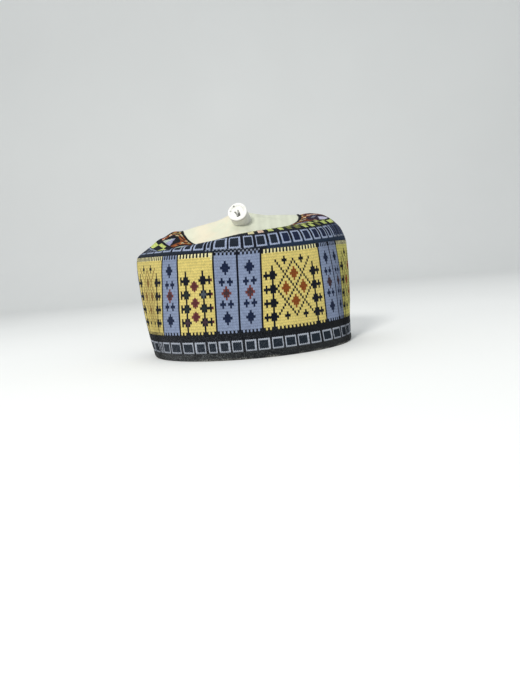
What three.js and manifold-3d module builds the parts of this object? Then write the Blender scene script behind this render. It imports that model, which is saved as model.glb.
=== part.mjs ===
// A tall oval knitted cap of the Hausa kind, resting on its rim.
// X runs to the front, Y to the wearer's left and Z up, in millimetres.
// The wall and the crown ring are one skin cut into pieces: it is read at an angle round the cap
// and at a place along the skin, where the rim is 0, the joint under the crown 1 and the opening 2.
import * as THREE from "three";
import Module from "manifold-3d";

// Outline of the cap
const RIM_LENGTH = 203.6;
const RIM_WIDTH = 167;
const WALL_HEIGHT = 100.5;
const SIDE_DIP = 3.5;
const CROWN_RISE = 45;

// Opening of the crown ring, filled by the crown cloth
const OPENING_LENGTH = 118;
const OPENING_WIDTH = 72;
const OPENING_SHIFT = -2.5;
const OPENING_CORNER = 0.8;
const PEAK_X = -3;
const PEAK_Y = 1;

// Thicknesses and the turned hem
const KNIT_WALL = 2.2;
const HEM_WALL = 3;
const HEM_HEIGHT = 7;
const HEM_ROUNDING = 0.8;
const EDGE_DIAMETER = 3;
const CLOTH_WALL = 1.2;
const CLEARANCE = 0.3;

// Rolled knob, which leans out of the cloth beside its peak
const KNOB_DIAMETER = 18.8;
const KNOB_LENGTH = 18;
const KNOB_ROOT = 8;
const KNOB_WAIST = 0.5;
const KNOB_EASE = 0.5;
const KNOB_LIP = 1.9;
const KNOB_DISH_SLOPE = 1.9;
const KNOB_DISH = 0.9;
const KNOB_PIT_DIAMETER = 3;
const KNOB_PIT_TIP = 1.5;
const KNOB_PIT_DEPTH = 3;
const KNOB_SEAT_SHARE = 0.72;
const KNOB_SEAT_ANGLE = -82;
const KNOB_SWING = -101;
const KNOB_LIFT = 17;

// Facets
const AROUND = 72;
const WALL_ROWS = 8;
const RING_ROWS = 11;
const CLOTH_ROWS = 6;
const EDGE_SIDES = 8;
const KNOB_SIDES = 28;
const LENGTH_STEPS = 60;
const SLOPE_STEP = 0.01;
const TURN = 2 * Math.PI;

// Wall sections from the rim up: height as a share of the joint's height,
// and the reach to the front, back and side as shares of the rim's half length and half width
const WALL_SECTIONS = [
  { height: 0.0, front: 1.0, back: 1.0, side: 1.0 },
  { height: 0.12, front: 1.004, back: 1.026, side: 0.988 },
  { height: 0.27, front: 1.008, back: 1.052, side: 0.974 },
  { height: 0.45, front: 1.016, back: 1.068, side: 0.966 },
  { height: 0.63, front: 1.022, back: 1.079, side: 0.96 },
  { height: 0.82, front: 1.022, back: 1.086, side: 0.955 },
  { height: 0.93, front: 1.018, back: 1.086, side: 0.952 },
  { height: 1.0, front: 1.013, back: 1.076, side: 0.948 },
];

// Crown ring sections from the joint in: inset as a share of the way to the opening,
// and the rise in five directions as shares of the crown's rise
const RING_SECTIONS = [
  { inset: 0.0, front: 0.0, frontSide: 0.0, side: 0.0, backSide: 0.0, back: 0.0 },
  { inset: 0.04, front: 0.136, frontSide: 0.111, side: 0.1, backSide: 0.085, back: 0.045 },
  { inset: 0.1, front: 0.285, frontSide: 0.231, side: 0.196, backSide: 0.12, back: 0.105 },
  { inset: 0.2, front: 0.415, frontSide: 0.336, side: 0.28, backSide: 0.12, back: 0.195 },
  { inset: 0.33, front: 0.542, frontSide: 0.407, side: 0.318, backSide: 0.082, back: 0.3 },
  { inset: 0.47, front: 0.642, frontSide: 0.447, side: 0.331, backSide: 0.105, back: 0.41 },
  { inset: 0.62, front: 0.695, frontSide: 0.456, side: 0.336, backSide: 0.19, back: 0.475 },
  { inset: 0.8, front: 0.735, frontSide: 0.452, side: 0.344, backSide: 0.225, back: 0.585 },
  { inset: 1.0, front: 0.735, frontSide: 0.451, side: 0.355, backSide: 0.222, back: 0.59 },
];

// Crown cloth sections from the opening to the peak, in the same shares
const CLOTH_SECTIONS = [
  { ...RING_SECTIONS[RING_SECTIONS.length - 1], inset: 0.0 },
  { inset: 0.2, front: 0.758, frontSide: 0.544, side: 0.46, backSide: 0.36, back: 0.665 },
  { inset: 0.45, front: 0.782, frontSide: 0.656, side: 0.6, backSide: 0.544, back: 0.725 },
  { inset: 0.7, front: 0.838, frontSide: 0.778, side: 0.745, backSide: 0.711, back: 0.8 },
  { inset: 0.88, front: 0.911, frontSide: 0.9, side: 0.889, backSide: 0.884, back: 0.9 },
  { inset: 1.0, front: 1.0, frontSide: 1.0, side: 1.0, backSide: 1.0, back: 1.0 },
];

// The five directions of a section, once round the cap from the front
const DIRECTIONS = ["front", "frontSide", "side", "backSide", "back", "backSide", "side", "frontSide"];

const SIDE_HEIGHT = WALL_HEIGHT - SIDE_DIP;
const EDGE_RADIUS = EDGE_DIAMETER / 2;
const PEAK = new THREE.Vector3(PEAK_X, PEAK_Y, SIDE_HEIGHT + CROWN_RISE);

// Cubic curve from a to b with the slopes slopeA and slopeB per unit of t
function hermite(a, b, slopeA, slopeB, t) {
  const rest = 1 - t;
  const ends = a * rest * rest * (1 + 2 * t) + b * t * t * (1 + 2 * rest);
  return ends + slopeA * t * rest * rest - slopeB * t * t * rest;
}

// One column of a table, read between its rows on a smooth curve through them
function column(table, key, name, place) {
  const last = table.length - 1;
  let row = 0;
  while (row < last - 1 && table[row + 1][key] < place) row += 1;
  const slope = (at) => {
    const before = table[Math.max(at - 1, 0)];
    const after = table[Math.min(at + 1, last)];
    return (after[name] - before[name]) / (after[key] - before[key]);
  };
  const low = table[row];
  const high = table[row + 1];
  const span = high[key] - low[key];
  const t = (place - low[key]) / span;
  return hermite(low[name], high[name], slope(row) * span, slope(row + 1) * span, t);
}

// A section's rise at an angle, on a smooth closed curve through its directions
function riseAt(table, inset, angle) {
  const count = DIRECTIONS.length;
  const turned = (((angle / TURN) % 1) + 1) % 1;
  const first = Math.floor(turned * count);
  const value = (step) => column(table, "inset", DIRECTIONS[(first + step + count) % count], inset);
  const [before, low, high, after] = [value(-1), value(0), value(1), value(2)];
  return hermite(low, high, (high - before) / 2, (after - low) / 2, turned * count - first);
}

// Height of the joint between the wall and the crown ring
function jointHeight(angle) {
  return SIDE_HEIGHT + SIDE_DIP * Math.cos(angle) ** 2;
}

function wallPoint(angle, height) {
  const front = column(WALL_SECTIONS, "height", "front", height) * (RIM_LENGTH / 2);
  const back = column(WALL_SECTIONS, "height", "back", height) * (RIM_LENGTH / 2);
  const side = column(WALL_SECTIONS, "height", "side", height) * (RIM_WIDTH / 2);
  const x = (front - back) / 2 + ((front + back) / 2) * Math.cos(angle);
  return new THREE.Vector3(x, side * Math.sin(angle), height * jointHeight(angle));
}

// Plan of the opening: an oval whose two front corners are drawn out
function openingPoint(angle) {
  const corner = OPENING_CORNER * Math.sin(angle) ** 2 * Math.max(Math.cos(angle), 0) ** 4;
  const x = OPENING_SHIFT + (OPENING_LENGTH / 2) * (1 + corner) * Math.cos(angle);
  return new THREE.Vector3(x, (OPENING_WIDTH / 2) * (1 + corner) * Math.sin(angle), SIDE_HEIGHT);
}

function ringPoint(angle, inset) {
  const point = wallPoint(angle, 1).lerp(openingPoint(angle), inset);
  point.z += CROWN_RISE * riseAt(RING_SECTIONS, inset, angle);
  return point;
}

function clothPoint(angle, inset) {
  const point = openingPoint(angle).lerp(PEAK, inset);
  point.z = SIDE_HEIGHT + CROWN_RISE * riseAt(CLOTH_SECTIONS, inset, angle);
  return point;
}

// The knitted skin, from the rim at 0 past the joint at 1 to the opening at 2
function skinPoint(angle, place) {
  return place <= 1 ? wallPoint(angle, place) : ringPoint(angle, place - 1);
}

// Outward normal of a surface, from points a step to each side, kept between low and high
function normalAt(surface, angle, place, low, high) {
  const across = surface(angle + SLOPE_STEP, place).sub(surface(angle - SLOPE_STEP, place));
  const upper = surface(angle, Math.min(place + SLOPE_STEP, high));
  const along = upper.sub(surface(angle, Math.max(place - SLOPE_STEP, low)));
  return across.cross(along).normalize();
}

// Places from low to high that divide a surface's length at an angle into equal rows,
// leaving out a length at the start and one at the end
function evenPlaces(surface, angle, low, high, startLength, endLength, rows) {
  const places = [];
  const lengths = [0];
  for (let step = 0; step <= LENGTH_STEPS; step += 1) {
    places.push(low + ((high - low) * step) / LENGTH_STEPS);
  }
  const points = places.map((place) => surface(angle, place));
  for (let step = 1; step <= LENGTH_STEPS; step += 1) {
    lengths.push(lengths[step - 1] + points[step].distanceTo(points[step - 1]));
  }
  const end = lengths[LENGTH_STEPS] - endLength;
  const result = [];
  for (let row = 0; row <= rows; row += 1) {
    const length = startLength + ((end - startLength) * row) / rows;
    let step = 1;
    while (step < LENGTH_STEPS && lengths[step] < length) step += 1;
    const share = (length - lengths[step - 1]) / (lengths[step] - lengths[step - 1]);
    result.push(places[step - 1] + (places[step] - places[step - 1]) * share);
  }
  return result;
}

function circleAngles(count) {
  return Array.from({ length: count }, (_, index) => (TURN * index) / count);
}

// Closed body through rings of points, joined end to end or closed by a point at each end
function loft(rings, firstPoint, lastPoint) {
  const count = rings[0].length;
  const points = rings.flat();
  const faces = [];
  const joins = firstPoint ? rings.length - 1 : rings.length;
  for (let ring = 0; ring < joins; ring += 1) {
    const here = ring * count;
    const next = ((ring + 1) % rings.length) * count;
    for (let index = 0; index < count; index += 1) {
      const beside = (index + 1) % count;
      faces.push(here + index, here + beside, next + beside);
      faces.push(here + index, next + beside, next + index);
    }
  }
  if (firstPoint) {
    const first = points.push(firstPoint) - 1;
    const last = points.push(lastPoint) - 1;
    const top = (rings.length - 1) * count;
    for (let index = 0; index < count; index += 1) {
      const beside = (index + 1) % count;
      faces.push(first, beside, index);
      faces.push(last, top + index, top + beside);
    }
  }
  const geometry = new THREE.BufferGeometry().setFromPoints(points);
  geometry.setIndex(faces);
  return geometry;
}

// Points of a surface at each angle, moved inwards by a depth, one ring for each row of places
function surfaceRings(surface, placesAt, depth, low, high) {
  const angles = circleAngles(AROUND);
  const columns = angles.map((angle) =>
    placesAt(angle).map((place) => {
      const normal = normalAt(surface, angle, place, low, high);
      return surface(angle, place).addScaledVector(normal, -depth);
    })
  );
  return columns[0].map((_, row) => columns.map((points) => points[row]));
}

// Wall of even thickness whose outside is the surface
function wallBody(surface, placesAt, thickness, low, high) {
  const outside = surfaceRings(surface, placesAt, 0, low, high);
  const inside = surfaceRings(surface, placesAt, thickness, low, high).reverse();
  return loft([...outside, ...inside]);
}

// Turned hem: a band with a flat underside, its edges eased by the rounding
function hemBody() {
  const section = [
    { depth: HEM_ROUNDING, z: 0 },
    { depth: 0, z: HEM_ROUNDING },
    { depth: 0, z: HEM_HEIGHT / 2 },
    { depth: 0, z: HEM_HEIGHT },
    { depth: HEM_WALL, z: HEM_HEIGHT },
    { depth: HEM_WALL, z: HEM_ROUNDING },
    { depth: HEM_WALL - HEM_ROUNDING, z: 0 },
  ];
  const rings = section.map(({ depth, z }) =>
    circleAngles(AROUND).map((angle) => {
      const place = z / jointHeight(angle);
      const outward = normalAt(wallPoint, angle, place, 0, 1).setZ(0).normalize();
      return wallPoint(angle, place).addScaledVector(outward, -depth);
    })
  );
  return loft(rings);
}

function sideWallBody() {
  const placesAt = (angle) => {
    const height = jointHeight(angle);
    const low = (HEM_HEIGHT + CLEARANCE) / height;
    const high = 1 - CLEARANCE / 2 / height;
    return Array.from({ length: WALL_ROWS + 1 }, (_, row) => low + ((high - low) * row) / WALL_ROWS);
  };
  return wallBody(skinPoint, placesAt, KNIT_WALL, 0, 2);
}

function crownRingBody() {
  const inner = EDGE_RADIUS + CLEARANCE;
  const placesAt = (angle) => evenPlaces(skinPoint, angle, 1, 2, CLEARANCE / 2, inner, RING_ROWS);
  return wallBody(skinPoint, placesAt, KNIT_WALL, 0, 2);
}

// Bound edge of the opening: a round cord along the middle of the knitted wall's end
function crownEdgeBody() {
  const rings = circleAngles(EDGE_SIDES).map((turn) =>
    circleAngles(AROUND).map((angle) => {
      const ringNormal = normalAt(skinPoint, angle, 2, 1, 2);
      const normal = normalAt(clothPoint, angle, 0, 0, 1).add(ringNormal).normalize();
      const centre = openingPoint(angle).setZ(ringPoint(angle, 1).z);
      centre.addScaledVector(normal, -KNIT_WALL / 2);
      const outward = new THREE.Vector3(Math.cos(angle), Math.sin(angle), 0);
      centre.addScaledVector(outward, EDGE_RADIUS * Math.cos(turn));
      centre.z += EDGE_RADIUS * Math.sin(turn);
      return centre;
    })
  );
  return loft(rings);
}

// Rings of the crown cloth without its pole
function clothRings(depth) {
  const outer = EDGE_RADIUS + CLEARANCE;
  const placesAt = (angle) => {
    const places = evenPlaces(clothPoint, angle, 0, 1, outer, 0, CLOTH_ROWS);
    return places.slice(0, -1);
  };
  return surfaceRings(clothPoint, placesAt, depth, 0, 1);
}

function peakPoint(depth) {
  return PEAK.clone().setZ(PEAK.z - depth);
}

function crownClothBody() {
  const inside = clothRings(CLOTH_WALL).reverse();
  return loft([...inside, ...clothRings(0)], peakPoint(CLOTH_WALL), peakPoint(0));
}

// Everything under the cloth and its clearance, to cut the knob's root
function underClothBody() {
  const floor = new THREE.Vector3(PEAK.x, PEAK.y, 0);
  return loft(clothRings(-CLEARANCE), floor, peakPoint(-CLEARANCE));
}

// Rolled knob about its own Z axis: root, waist, lip, dished face and central pit
function knobBody() {
  const radius = KNOB_DIAMETER / 2;
  const pit = KNOB_PIT_DIAMETER / 2;
  const face = KNOB_LENGTH;
  const profile = [
    { r: radius - KNOB_WAIST, z: -KNOB_ROOT },
    { r: radius - KNOB_WAIST / 2, z: 0 },
    { r: radius - KNOB_WAIST, z: face / 2 },
    { r: radius, z: face - KNOB_LIP },
    { r: radius - KNOB_EASE, z: face - KNOB_EASE },
    { r: radius - KNOB_LIP, z: face },
    { r: radius - KNOB_LIP - KNOB_DISH_SLOPE, z: face - KNOB_DISH },
    { r: pit, z: face - KNOB_DISH },
    { r: KNOB_PIT_TIP / 2, z: face - KNOB_DISH - KNOB_PIT_DEPTH },
  ];
  const rings = profile.map(({ r, z }) =>
    circleAngles(KNOB_SIDES).map((turn) => new THREE.Vector3(r * Math.cos(turn), r * Math.sin(turn), z))
  );
  const back = new THREE.Vector3(0, 0, -KNOB_ROOT);
  const front = new THREE.Vector3(0, 0, profile[profile.length - 1].z);
  const geometry = loft(rings, back, front);
  const swing = THREE.MathUtils.degToRad(KNOB_SWING);
  const lift = THREE.MathUtils.degToRad(KNOB_LIFT);
  const flat = Math.cos(lift);
  const axis = new THREE.Vector3(Math.cos(swing) * flat, Math.sin(swing) * flat, Math.sin(lift));
  const turned = new THREE.Quaternion().setFromUnitVectors(new THREE.Vector3(0, 0, 1), axis);
  const seat = clothPoint(THREE.MathUtils.degToRad(KNOB_SEAT_ANGLE), KNOB_SEAT_SHARE);
  return geometry.applyQuaternion(turned).translate(seat.x, seat.y, seat.z);
}

const wasm = await Module();
wasm.setup();

function toSolid(geometry) {
  const vertProperties = new Float32Array(geometry.getAttribute("position").array);
  const triVerts = new Uint32Array(geometry.getIndex().array);
  return new wasm.Manifold(new wasm.Mesh({ numProp: 3, vertProperties, triVerts }));
}

function subtract(geometry, cutter) {
  const mesh = toSolid(geometry).subtract(toSolid(cutter)).getMesh();
  const result = new THREE.BufferGeometry();
  result.setAttribute("position", new THREE.BufferAttribute(mesh.vertProperties, 3));
  result.setIndex(new THREE.BufferAttribute(mesh.triVerts, 1));
  return result;
}

const charcoalKnit = new THREE.MeshStandardMaterial({ color: 0x3f4149, roughness: 0.95, metalness: 0 });
const strawKnit = new THREE.MeshStandardMaterial({ color: 0xd2c274, roughness: 0.92, metalness: 0 });
const navyKnit = new THREE.MeshStandardMaterial({ color: 0x3a4260, roughness: 0.92, metalness: 0 });
const blackCord = new THREE.MeshStandardMaterial({ color: 0x1c1c22, roughness: 0.9, metalness: 0 });
const ivoryCloth = new THREE.MeshStandardMaterial({ color: 0xe6e2d2, roughness: 0.88, metalness: 0 });
const whiteRoll = new THREE.MeshStandardMaterial({ color: 0xf4f3ee, roughness: 0.8, metalness: 0 });

const group = new THREE.Group();

function addPiece(name, geometry, material) {
  const mesh = new THREE.Mesh(geometry, material);
  mesh.name = name;
  group.add(mesh);
}

addPiece("rim_hem", hemBody(), charcoalKnit);
addPiece("side_wall", sideWallBody(), strawKnit);
addPiece("crown_ring", crownRingBody(), navyKnit);
addPiece("crown_edge", crownEdgeBody(), blackCord);
addPiece("crown_cloth", crownClothBody(), ivoryCloth);
addPiece("top_knob", subtract(knobBody(), underClothBody()), whiteRoll);

// The origin is under the middle of the cap's own box
const middle = new THREE.Box3().setFromObject(group).getCenter(new THREE.Vector3());
group.position.set(-middle.x, -middle.y, 0);

export default group;
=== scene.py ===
"""Looks of a tall knitted cap of the Hausa kind, resting on its rim.

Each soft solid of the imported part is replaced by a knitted, bound or woven piece of the same outline.
The outline repeats the part's own tables. Lengths in the functions are millimetres in the cap's own
frame, X to the front, Y to the wearer's left and Z up, and `to_frame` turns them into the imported
part's metres.
"""
import math

import bpy
import numpy as np
from mathutils import Matrix, Vector


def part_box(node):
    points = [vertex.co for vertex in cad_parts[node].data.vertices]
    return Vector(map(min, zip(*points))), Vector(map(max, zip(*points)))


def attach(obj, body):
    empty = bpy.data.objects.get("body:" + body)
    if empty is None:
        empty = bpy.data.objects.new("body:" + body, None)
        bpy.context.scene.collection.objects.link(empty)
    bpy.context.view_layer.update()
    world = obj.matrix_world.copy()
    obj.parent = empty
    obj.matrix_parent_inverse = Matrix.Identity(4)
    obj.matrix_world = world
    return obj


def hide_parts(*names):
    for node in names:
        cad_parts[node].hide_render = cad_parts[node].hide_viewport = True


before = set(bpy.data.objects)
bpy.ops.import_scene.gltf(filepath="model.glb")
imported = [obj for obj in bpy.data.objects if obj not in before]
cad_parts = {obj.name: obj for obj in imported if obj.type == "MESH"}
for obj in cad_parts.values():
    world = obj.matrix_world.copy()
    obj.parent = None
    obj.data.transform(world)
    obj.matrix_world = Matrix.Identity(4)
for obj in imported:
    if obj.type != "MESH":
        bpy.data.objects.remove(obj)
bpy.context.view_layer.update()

# Sizes of the part
RIM_LENGTH = 203.6
RIM_WIDTH = 167.0
WALL_HEIGHT = 100.5
SIDE_DIP = 3.5
CROWN_RISE = 45.0
OPENING_LENGTH = 118.0
OPENING_WIDTH = 72.0
OPENING_SHIFT = -2.5
OPENING_CORNER = 0.8
PEAK = np.array([-3.0, 1.0, WALL_HEIGHT - SIDE_DIP + CROWN_RISE])
SIDE_HEIGHT = WALL_HEIGHT - SIDE_DIP
KNIT_WALL = 2.2
HEM_HEIGHT = 7.0
HEM_GAP = 0.1
HEM_ROW = 1.3
EDGE_RADIUS = 1.5
CLOTH_WALL = 1.2
KNOB_RADIUS = 9.5
KNOB_LENGTH = 18.0
KNOB_ROOT = 4.5
KNOB_LIP = 1.9
KNOB_SINK = 3.2
KNOB_SEAT_SHARE = 0.72
KNOB_SEAT_ANGLE = math.radians(-82)
KNOB_SWING = math.radians(-101)
KNOB_LIFT = math.radians(24)
TURN = 2 * math.pi

# Columns: height, front, back, side
WALL_SECTIONS = np.array([
    (0.0, 1.0, 1.0, 1.0),
    (0.12, 1.004, 1.026, 0.988),
    (0.27, 1.008, 1.052, 0.974),
    (0.45, 1.016, 1.068, 0.966),
    (0.63, 1.022, 1.079, 0.96),
    (0.82, 1.022, 1.086, 0.955),
    (0.93, 1.018, 1.086, 0.952),
    (1.0, 1.013, 1.076, 0.948),
])
# Columns of the next two tables: inset, then the rise at the front, front side, side, back side and back
RING_SECTIONS = np.array([
    (0.0, 0.0, 0.0, 0.0, 0.0, 0.0),
    (0.04, 0.136, 0.111, 0.1, 0.085, 0.045),
    (0.1, 0.285, 0.231, 0.196, 0.12, 0.105),
    (0.2, 0.415, 0.336, 0.28, 0.12, 0.195),
    (0.33, 0.542, 0.407, 0.318, 0.082, 0.3),
    (0.47, 0.642, 0.447, 0.331, 0.105, 0.41),
    (0.62, 0.695, 0.456, 0.336, 0.19, 0.475),
    (0.8, 0.735, 0.452, 0.344, 0.225, 0.585),
    (1.0, 0.735, 0.451, 0.355, 0.222, 0.59),
])
CLOTH_SECTIONS = np.array([
    (0.0, 0.735, 0.451, 0.355, 0.222, 0.59),
    (0.2, 0.758, 0.544, 0.46, 0.36, 0.665),
    (0.45, 0.782, 0.656, 0.6, 0.544, 0.725),
    (0.7, 0.838, 0.778, 0.745, 0.711, 0.8),
    (0.88, 0.911, 0.9, 0.889, 0.884, 0.9),
    (1.0, 1.0, 1.0, 1.0, 1.0, 1.0),
])
# Column of each of the eight directions round the cap, from its front
DIRECTION_COLUMNS = (1, 2, 3, 4, 5, 4, 3, 2)
# Section of the hem, from its underside up the outside, over the top and down the inside: the depth in from
# the wall's outline and the height
HEM_SECTION = np.array([
    (0.9, 0.0), (0.45, 0.1), (0.15, 0.4), (0.0, 0.9), (-0.18, 1.8), (-0.26, 2.8), (-0.26, 3.8), (-0.18, 4.9),
    (-0.02, 6.0), (0.25, 6.8), (0.8, 7.15), (1.5, 7.2), (2.2, 7.15), (2.75, 6.8), (3.0, 6.0), (3.08, 4.5),
    (3.08, 3.0), (3.0, 1.6), (2.85, 0.7), (2.5, 0.2), (2.1, 0.0),
])

# The knitting: stitches round the wall, rows up it and yarns
CELLS = 345
FIRST_CELL = -81
FACES_PER_CELL = 2
COLUMNS = CELLS * FACES_PER_CELL
SEAM_CELL = -12
# Rise and fall of a row's edge, as a share of the row
ZIGZAG = 0.24
# Heights in millimetres of slow dents, of ribs between the wales and of single uneven stitches
WALL_DENTS, WALL_RIBS, WALL_STITCHES = 0.4, 0.14, 0.06
RING_DENTS, RING_RIBS, RING_STITCHES = 0.5, 0.12, 0.05
HEM_RIBS, HEM_STITCHES = 0.18, 0.07
# Depths of the knitting where two pieces meet and along the seam, and the seam's width in stitches
JOINT_TUCK = 0.3
SEAM_DEPTH, SEAM_WIDTH = 0.5, 0.8
# Share of the wall's relief that its inside lacks
INSIDE_LOSS = 0.3
# Share of the ring's length at which its knitting ends, inside the binding
RING_END = 0.985
# Rows of points on the inside of the wall and of the crown ring
WALL_INSIDE_ROWS, RING_INSIDE_ROWS = 37, 20
# How much lighter or darker single stitches are
WALL_SPOTS, RING_SPOTS, INSIDE_SPOTS = 0.05, 0.06, 0.12
SEEDS = {
    "wall_relief": 3, "wall_yarns": 5, "wall_inside": 6, "ring_relief": 8, "ring_yarns": 9, "ring_inside": 10,
    "hem_relief": 12, "ray_blotches": 21,
}

# Where the stitches lie once the cloth is pulled over the cap's form: a stitch, then its place near the top
# and near the bottom of the wall, in even stitch widths from the cap's right side
PULL = np.array([
    (-74.5, -69.3, -69.4),
    (-50.5, -49.2, -55.9),
    (-44.5, -44.7, -51.4),
    (-32.5, -34.6, -38.6),
    (-11.5, -14.4, -16.7),
    (0.5, -1.8, -4.3),
    (12.5, 10.5, 7.7),
    (48.5, 43.6, 46.4),
    (60.5, 51.5, 57.7),
    (72.5, 58.6, 63.2),
    (78.5, 62.4, 65.6),
    (85.5, 68.0, 69.2),
])
PULL = np.concatenate([PULL - CELLS, PULL, PULL + CELLS])
PULL_TOP = 0.95
PULL_BOTTOM = 0.28

# Edges of the crown ring's bands from the cap's back to its front: a place in even stitch widths, then the
# lower and upper edge of the squares, the lower edge of the checks, the line between their two rows and the
# start of the rays, as shares of the ring's length
QUARTER = CELLS / 4
RING_LINES = np.array([
    (-QUARTER, 0.075, 0.315, 0.334, 0.470, 0.545),
    (-66.0, 0.070, 0.318, 0.338, 0.462, 0.530),
    (-40.0, 0.065, 0.310, 0.340, 0.460, 0.540),
    (-15.0, 0.050, 0.305, 0.335, 0.470, 0.550),
    (0.0, 0.034, 0.290, 0.330, 0.480, 0.560),
    (12.0, 0.031, 0.268, 0.322, 0.480, 0.570),
    (25.0, 0.045, 0.280, 0.345, 0.490, 0.590),
    (38.0, 0.053, 0.300, 0.358, 0.495, 0.600),
    (48.0, 0.064, 0.325, 0.375, 0.500, 0.620),
    (55.0, 0.066, 0.340, 0.385, 0.510, 0.600),
    (60.0, 0.075, 0.345, 0.392, 0.500, 0.540),
    (68.0, 0.077, 0.339, 0.378, 0.460, 0.475),
    (QUARTER, 0.080, 0.330, 0.370, 0.455, 0.470),
])
# Places where the outer row of checks changes between light and dark, from the cap's back to its front
CHECK_EDGES = np.array([
    -100.0, -84.5, -70.8, -62.5, -53.0, -46.0, -39.0, -33.5, -28.5, -24.0, -20.0, -16.3, -13.0, -9.6, -6.5,
    -1.5, 1.6, 4.9, 7.7, 11.2, 14.2, 17.2, 20.4, 24.4, 27.2, 29.7, 32.4, 35.3, 38.2, 41.1, 43.9, 46.2, 49.4,
    52.7, 55.0, 58.0, 61.5, 64.6, 75.0, 80.5, 100.0,
])
RAY_PITCH = CELLS / 18
# Squares of the crown ring and of the wall's foot, from the back to the front: the place of each one's two
# sides. One square on each band is narrower than the rest.
RING_SQUARES = np.array([
    (-90.5, -84.2), (-83.0, -76.8), (-75.5, -69.2), (-68.0, -61.5), (-60.3, -53.6), (-52.2, -46.2),
    (-45.0, -39.3), (-38.3, -32.7), (-31.5, -26.4), (-25.2, -19.4), (-18.2, -15.6), (-14.2, -7.1),
    (-6.0, 0.4), (2.0, 7.3), (8.7, 14.3), (16.0, 21.5), (22.9, 28.1), (29.3, 34.8), (36.2, 41.3),
    (42.6, 47.3), (48.5, 53.0), (54.1, 57.9), (59.2, 62.6), (63.8, 67.4), (68.7, 72.4), (73.7, 77.4),
    (78.7, 82.4), (83.7, 88.8),
])
WALL_SQUARES = np.array([
    (-89.5, -83.2), (-81.9, -75.6), (-74.2, -67.9), (-66.6, -60.3), (-59.0, -56.4), (-55.4, -48.9),
    (-47.8, -40.3), (-39.1, -31.9), (-30.6, -24.3), (-23.1, -18.1), (-16.9, -11.1), (-10.0, -4.2),
    (-2.9, 2.9), (4.0, 10.2), (11.4, 17.6), (18.6, 24.8), (25.8, 32.4), (33.7, 40.6), (41.8, 48.9),
    (50.0, 57.0), (58.0, 64.6), (65.8, 71.6), (72.8, 78.6), (79.8, 85.6),
])
# Width of an outline in even stitch widths, and the share of a narrow square that it takes at most
OUTLINE_WIDTH, OUTLINE_SHARE = 0.76, 0.27
# Places in front of the cap's middle from which the ground beside the joint is bluer, the crown ring's
# squares are navy inside, and their outlines are dusky
BLUER_FROM, NAVY_FROM, DUSKY_FROM = 14, 22, 60
# Stitches with specks in the wall's and in the crown ring's edge, where the knitting was joined
WALL_SPECKS, RING_SPECKS = (SEAM_CELL, 12), (SEAM_CELL - 5, 8)
# Stretches of the outer checks: darned over beside the knob, with a cream and a salmon bit left in it, and
# faded in front
DARNED, CREAM_BIT, SALMON_BIT = (-24, 16), (5.2, 8.9), (11.4, 14.4)
FADED_CHECKS = ((29, 32.8), (35, 38.5), (52, 55))
# Sags of the panels' upper edge on the cap's right side: depth as a share of the wall's height, then the
# place and the width in even stitch widths
SAGS = ((0.017, 3, 13), (0.012, 30, 15))
# Yarns of the rays' horseshoes and of the ground between them: a share of all blotches up to which a yarn
# is taken, and how much less of it there is at the front
WARM_YARNS = (
    ("rust", 0.42, 0.2), ("orange", 0.68, 0.26), ("brown", 0.84, 0.26), ("salmon", 0.91, 0.2),
    ("cream", 0.95, 0.22),
)
PALE_YARNS = (("straw", 0.3, 0.25), ("cream", 0.44, 0.3), ("orange", 0.6, 0.2), ("brown", 0.78, 0.2))

# Eight-bit display colours of the yarns
YARNS = {
    "dark": (10, 15, 28),
    "shade": (28, 37, 50),
    "straw": (220, 201, 119),
    "blue": (136, 149, 177),
    "rust": (134, 70, 26),
    "maroon": (88, 42, 44),
    "plum": (112, 58, 54),
    "umber": (66, 48, 54),
    "tan": (146, 114, 62),
    "sage": (211, 202, 113),
    "outline": (170, 176, 188),
    "outline_top": (158, 170, 196),
    "lime": (202, 214, 122),
    "orange": (190, 108, 52),
    "salmon": (232, 200, 176),
    "cream": (232, 224, 172),
    "purple": (54, 36, 58),
    "lavender": (166, 168, 202),
    "lilac": (204, 202, 226),
    "navy": (22, 34, 62),
    "teal": (30, 46, 68),
    "ink": (10, 13, 18),
    "pool": (20, 31, 42),
    "pine": (34, 44, 42),
    "slate": (76, 84, 90),
    "moss": (120, 124, 66),
    "speck": (128, 136, 152),
    "dusk": (78, 88, 118),
    "mint": (190, 205, 190),
    "brown": (132, 76, 44),
}
YARN_NAMES = list(YARNS)
YARN = {name: index for index, name in enumerate(YARN_NAMES)}


def linear(colour):
    """Linear light of colours given as eight-bit display values."""
    share = np.asarray(colour, float) / 255
    return np.where(share <= 0.04045, share / 12.92, ((share + 0.055) / 1.055) ** 2.4)


YARN_LIGHT = np.array([linear(YARNS[name]) for name in YARN_NAMES])


# Surfaces of the cap
def hermite(a, b, slope_a, slope_b, t):
    """Cubic from a to b with the given slopes per unit of t."""
    rest = 1 - t
    ends = a * rest * rest * (1 + 2 * t) + b * t * t * (1 + 2 * rest)
    return ends + slope_a * t * rest * rest - slope_b * t * t * rest


def bell(value, middle, width):
    """1 at the middle, falling to both sides on a bell curve: e to minus the square of the distance in
    widths."""
    return np.exp(-(((value - middle) / width) ** 2))


def column(table, index, place):
    """One column of a table, read between its rows on a smooth curve; a row's slope is the line through its
    two neighbours."""
    keys, values = table[:, 0], table[:, index]
    count = len(keys)
    row = np.clip(np.searchsorted(keys, place, side="left") - 1, 0, count - 2)
    before = np.maximum(np.arange(count) - 1, 0)
    after = np.minimum(np.arange(count) + 1, count - 1)
    slope = (values[after] - values[before]) / (keys[after] - keys[before])
    span = keys[row + 1] - keys[row]
    t = (place - keys[row]) / span
    return hermite(values[row], values[row + 1], slope[row] * span, slope[row + 1] * span, t)


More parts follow.
